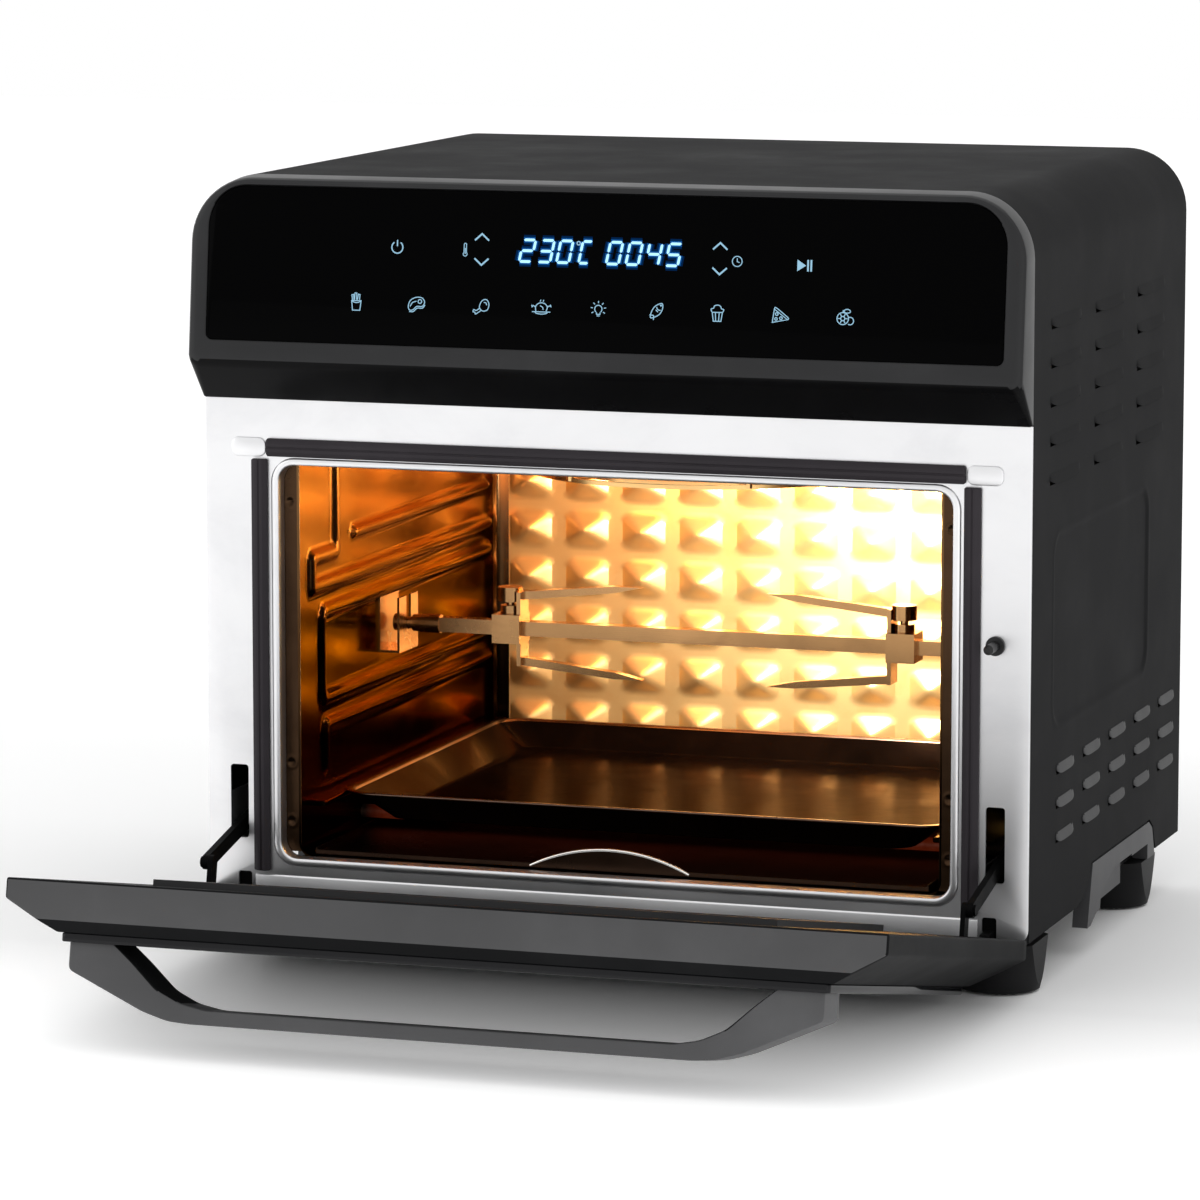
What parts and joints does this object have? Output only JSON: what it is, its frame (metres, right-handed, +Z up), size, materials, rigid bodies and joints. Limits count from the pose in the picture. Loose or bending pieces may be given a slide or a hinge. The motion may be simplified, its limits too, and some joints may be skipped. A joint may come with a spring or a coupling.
{
  "type": "rotisserie oven",
  "caption": "Counter-top convection oven with a drop-down door on stays, angular loop handle, touch panel head, rotisserie spit with forks, baking tray and crumb tray.",
  "frame": {"origin": "centre of the housing's footprint, on the worktop, in the plane of the feet's undersides", "axes": "+X to the oven's right as seen from the front, +Y from the door to the rear, +Z up"},
  "size_m": [0.4028, 0.5381, 0.368],
  "materials": {
    "coat": "fine satin black powder coat",
    "base_sheet": "black coated sheet",
    "steel": "fine-grained pale stainless sheet",
    "head_plastic": "satin black moulding",
    "control_glass": "black glass panel with lit symbols",
    "board": "coated circuit board",
    "zinc": "zinc-plated sheet",
    "liner": "pressed cavity sheet, warm from the lamp",
    "seal": "charcoal silicone strip",
    "foot_plastic": "grained black moulding",
    "foot_rubber": "soft pad",
    "grip_plastic": "dark grey moulding",
    "hinge_steel": "black coated steel",
    "switch_plastic": "black switch moulding",
    "bracket_steel": "bright pressed steel",
    "element": "oxidised heater sheath",
    "guard_wire": "plated guard",
    "fan_steel": "stamped fan",
    "ceramic": "white ceramic lamp socket",
    "bulb": "warm oven bulb",
    "lens": "ribbed lamp glass",
    "probe": "steel sheath",
    "screw": "plated screws",
    "door_glass": "smoked outer glass",
    "door_liner": "black inner frame",
    "inner_glass": "tempered inner glass",
    "handle_plastic": "satin black moulded grip",
    "spit_steel": "polished spit steel",
    "enamel": "dark brown enamel",
    "crumb_steel": "stained thin sheet"
  },
  "bodies": {
    "oven": {"housing": "coat", "rear_cover": "coat", "base_plate": "base_sheet", "front_fascia": "steel", "control_bezel": "head_plastic", "control_glass": "control_glass", "display_board": "board", "power_board": "board", "heat_shield": "zinc", "stay_guide_left": "zinc", "stay_guide_right": "zinc", "fan_motor": "zinc", "rotisserie_motor": "zinc", "thermal_cutout": "zinc", "cavity_side_left": "liner", "cavity_side_right": "liner", "cavity_back": "liner", "cavity_top": "liner", "cavity_floor": "liner", "seal_top": "seal", "seal_left": "seal", "seal_right": "seal", "foot_front_left": "foot_plastic", "foot_front_right": "foot_plastic", "foot_rear_left": "foot_plastic", "foot_rear_right": "foot_plastic", "foot_pads": "foot_rubber", "side_grip_left": "grip_plastic", "side_grip_right": "grip_plastic", "hinge_bracket_left": "hinge_steel", "hinge_bracket_right": "hinge_steel", "door_switch": "switch_plastic", "cord_gland": "switch_plastic", "spit_bracket": "bracket_steel", "upper_element": "element", "lower_elements": "element", "element_guard": "guard_wire", "lamp_holder": "ceramic", "lamp_bulb": "bulb", "lamp_lens": "lens", "temperature_probe": "probe", "housing_screws": "screw"},
    "door": {"door_frame": "coat", "door_outer_glass": "door_glass", "door_inner_panel": "door_liner", "door_inner_glass": "inner_glass", "door_handle": "handle_plastic", "handle_screws": "screw", "hinge_pins": "screw", "stay_lugs": "hinge_steel"},
    "stay_left_arm": {"stay_left": "hinge_steel"},
    "stay_right_arm": {"stay_right": "hinge_steel"},
    "switch_button": {"switch_plunger": "switch_plastic"},
    "spit": {"spit_rod": "spit_steel", "drive_socket": "spit_steel"},
    "left_fork": {"fork_left": "spit_steel"},
    "right_fork": {"fork_right": "spit_steel"},
    "fan": {"convection_fan": "fan_steel"},
    "tray": {"baking_tray": "enamel"},
    "crumbs": {"crumb_tray": "crumb_steel"}
  },
  "joints": [
    {"name": "door_hinge", "type": "hinge", "parent": "oven", "child": "door", "pos_m": [0, -0.1565, 0.027], "axis": [-1, 0, 0], "range_deg": [0, 78.5]},
    {"name": "stay_left_pivot", "type": "hinge", "parent": "door", "child": "stay_left_arm", "pos_m": [-0.184, -0.19173, 0.04947], "axis": [-1, 0, 0], "range_deg": [-65, 0]},
    {"name": "stay_right_pivot", "type": "hinge", "parent": "door", "child": "stay_right_arm", "pos_m": [0.184, -0.19173, 0.04947], "axis": [-1, 0, 0], "range_deg": [-65, 0]},
    {"name": "switch_slide", "type": "slide", "parent": "oven", "child": "switch_button", "axis": [0, 1, 0], "range_m": [0, 0.012]},
    {"name": "spit_turn", "type": "hinge", "parent": "oven", "child": "spit", "pos_m": [0, -0.025, 0.141], "axis": [1, 0, 0], "continuous": true},
    {"name": "fork_left_slide", "type": "slide", "parent": "spit", "child": "left_fork", "axis": [1, 0, 0], "range_m": [-0.015, 0.025]},
    {"name": "fork_right_slide", "type": "slide", "parent": "spit", "child": "right_fork", "axis": [1, 0, 0], "range_m": [-0.025, 0.012]},
    {"name": "fan_spin", "type": "hinge", "parent": "oven", "child": "fan", "pos_m": [0, 0, 0.3], "axis": [0, 0, 1], "continuous": true},
    {"name": "tray_slide", "type": "slide", "parent": "oven", "child": "tray", "axis": [0, 1, 0], "range_m": [-0.16, 0]},
    {"name": "crumb_slide", "type": "slide", "parent": "oven", "child": "crumbs", "axis": [0, 1, 0], "range_m": [-0.075, 0]}
  ],
  "couplings": [
    {"joint": "stay_left_pivot", "follows": "door_hinge", "ratio": -0.82166},
    {"joint": "stay_right_pivot", "follows": "door_hinge", "ratio": -0.82166},
    {"joint": "switch_slide", "follows": "door_hinge", "m_per_rad": 0.008613}
  ]
}
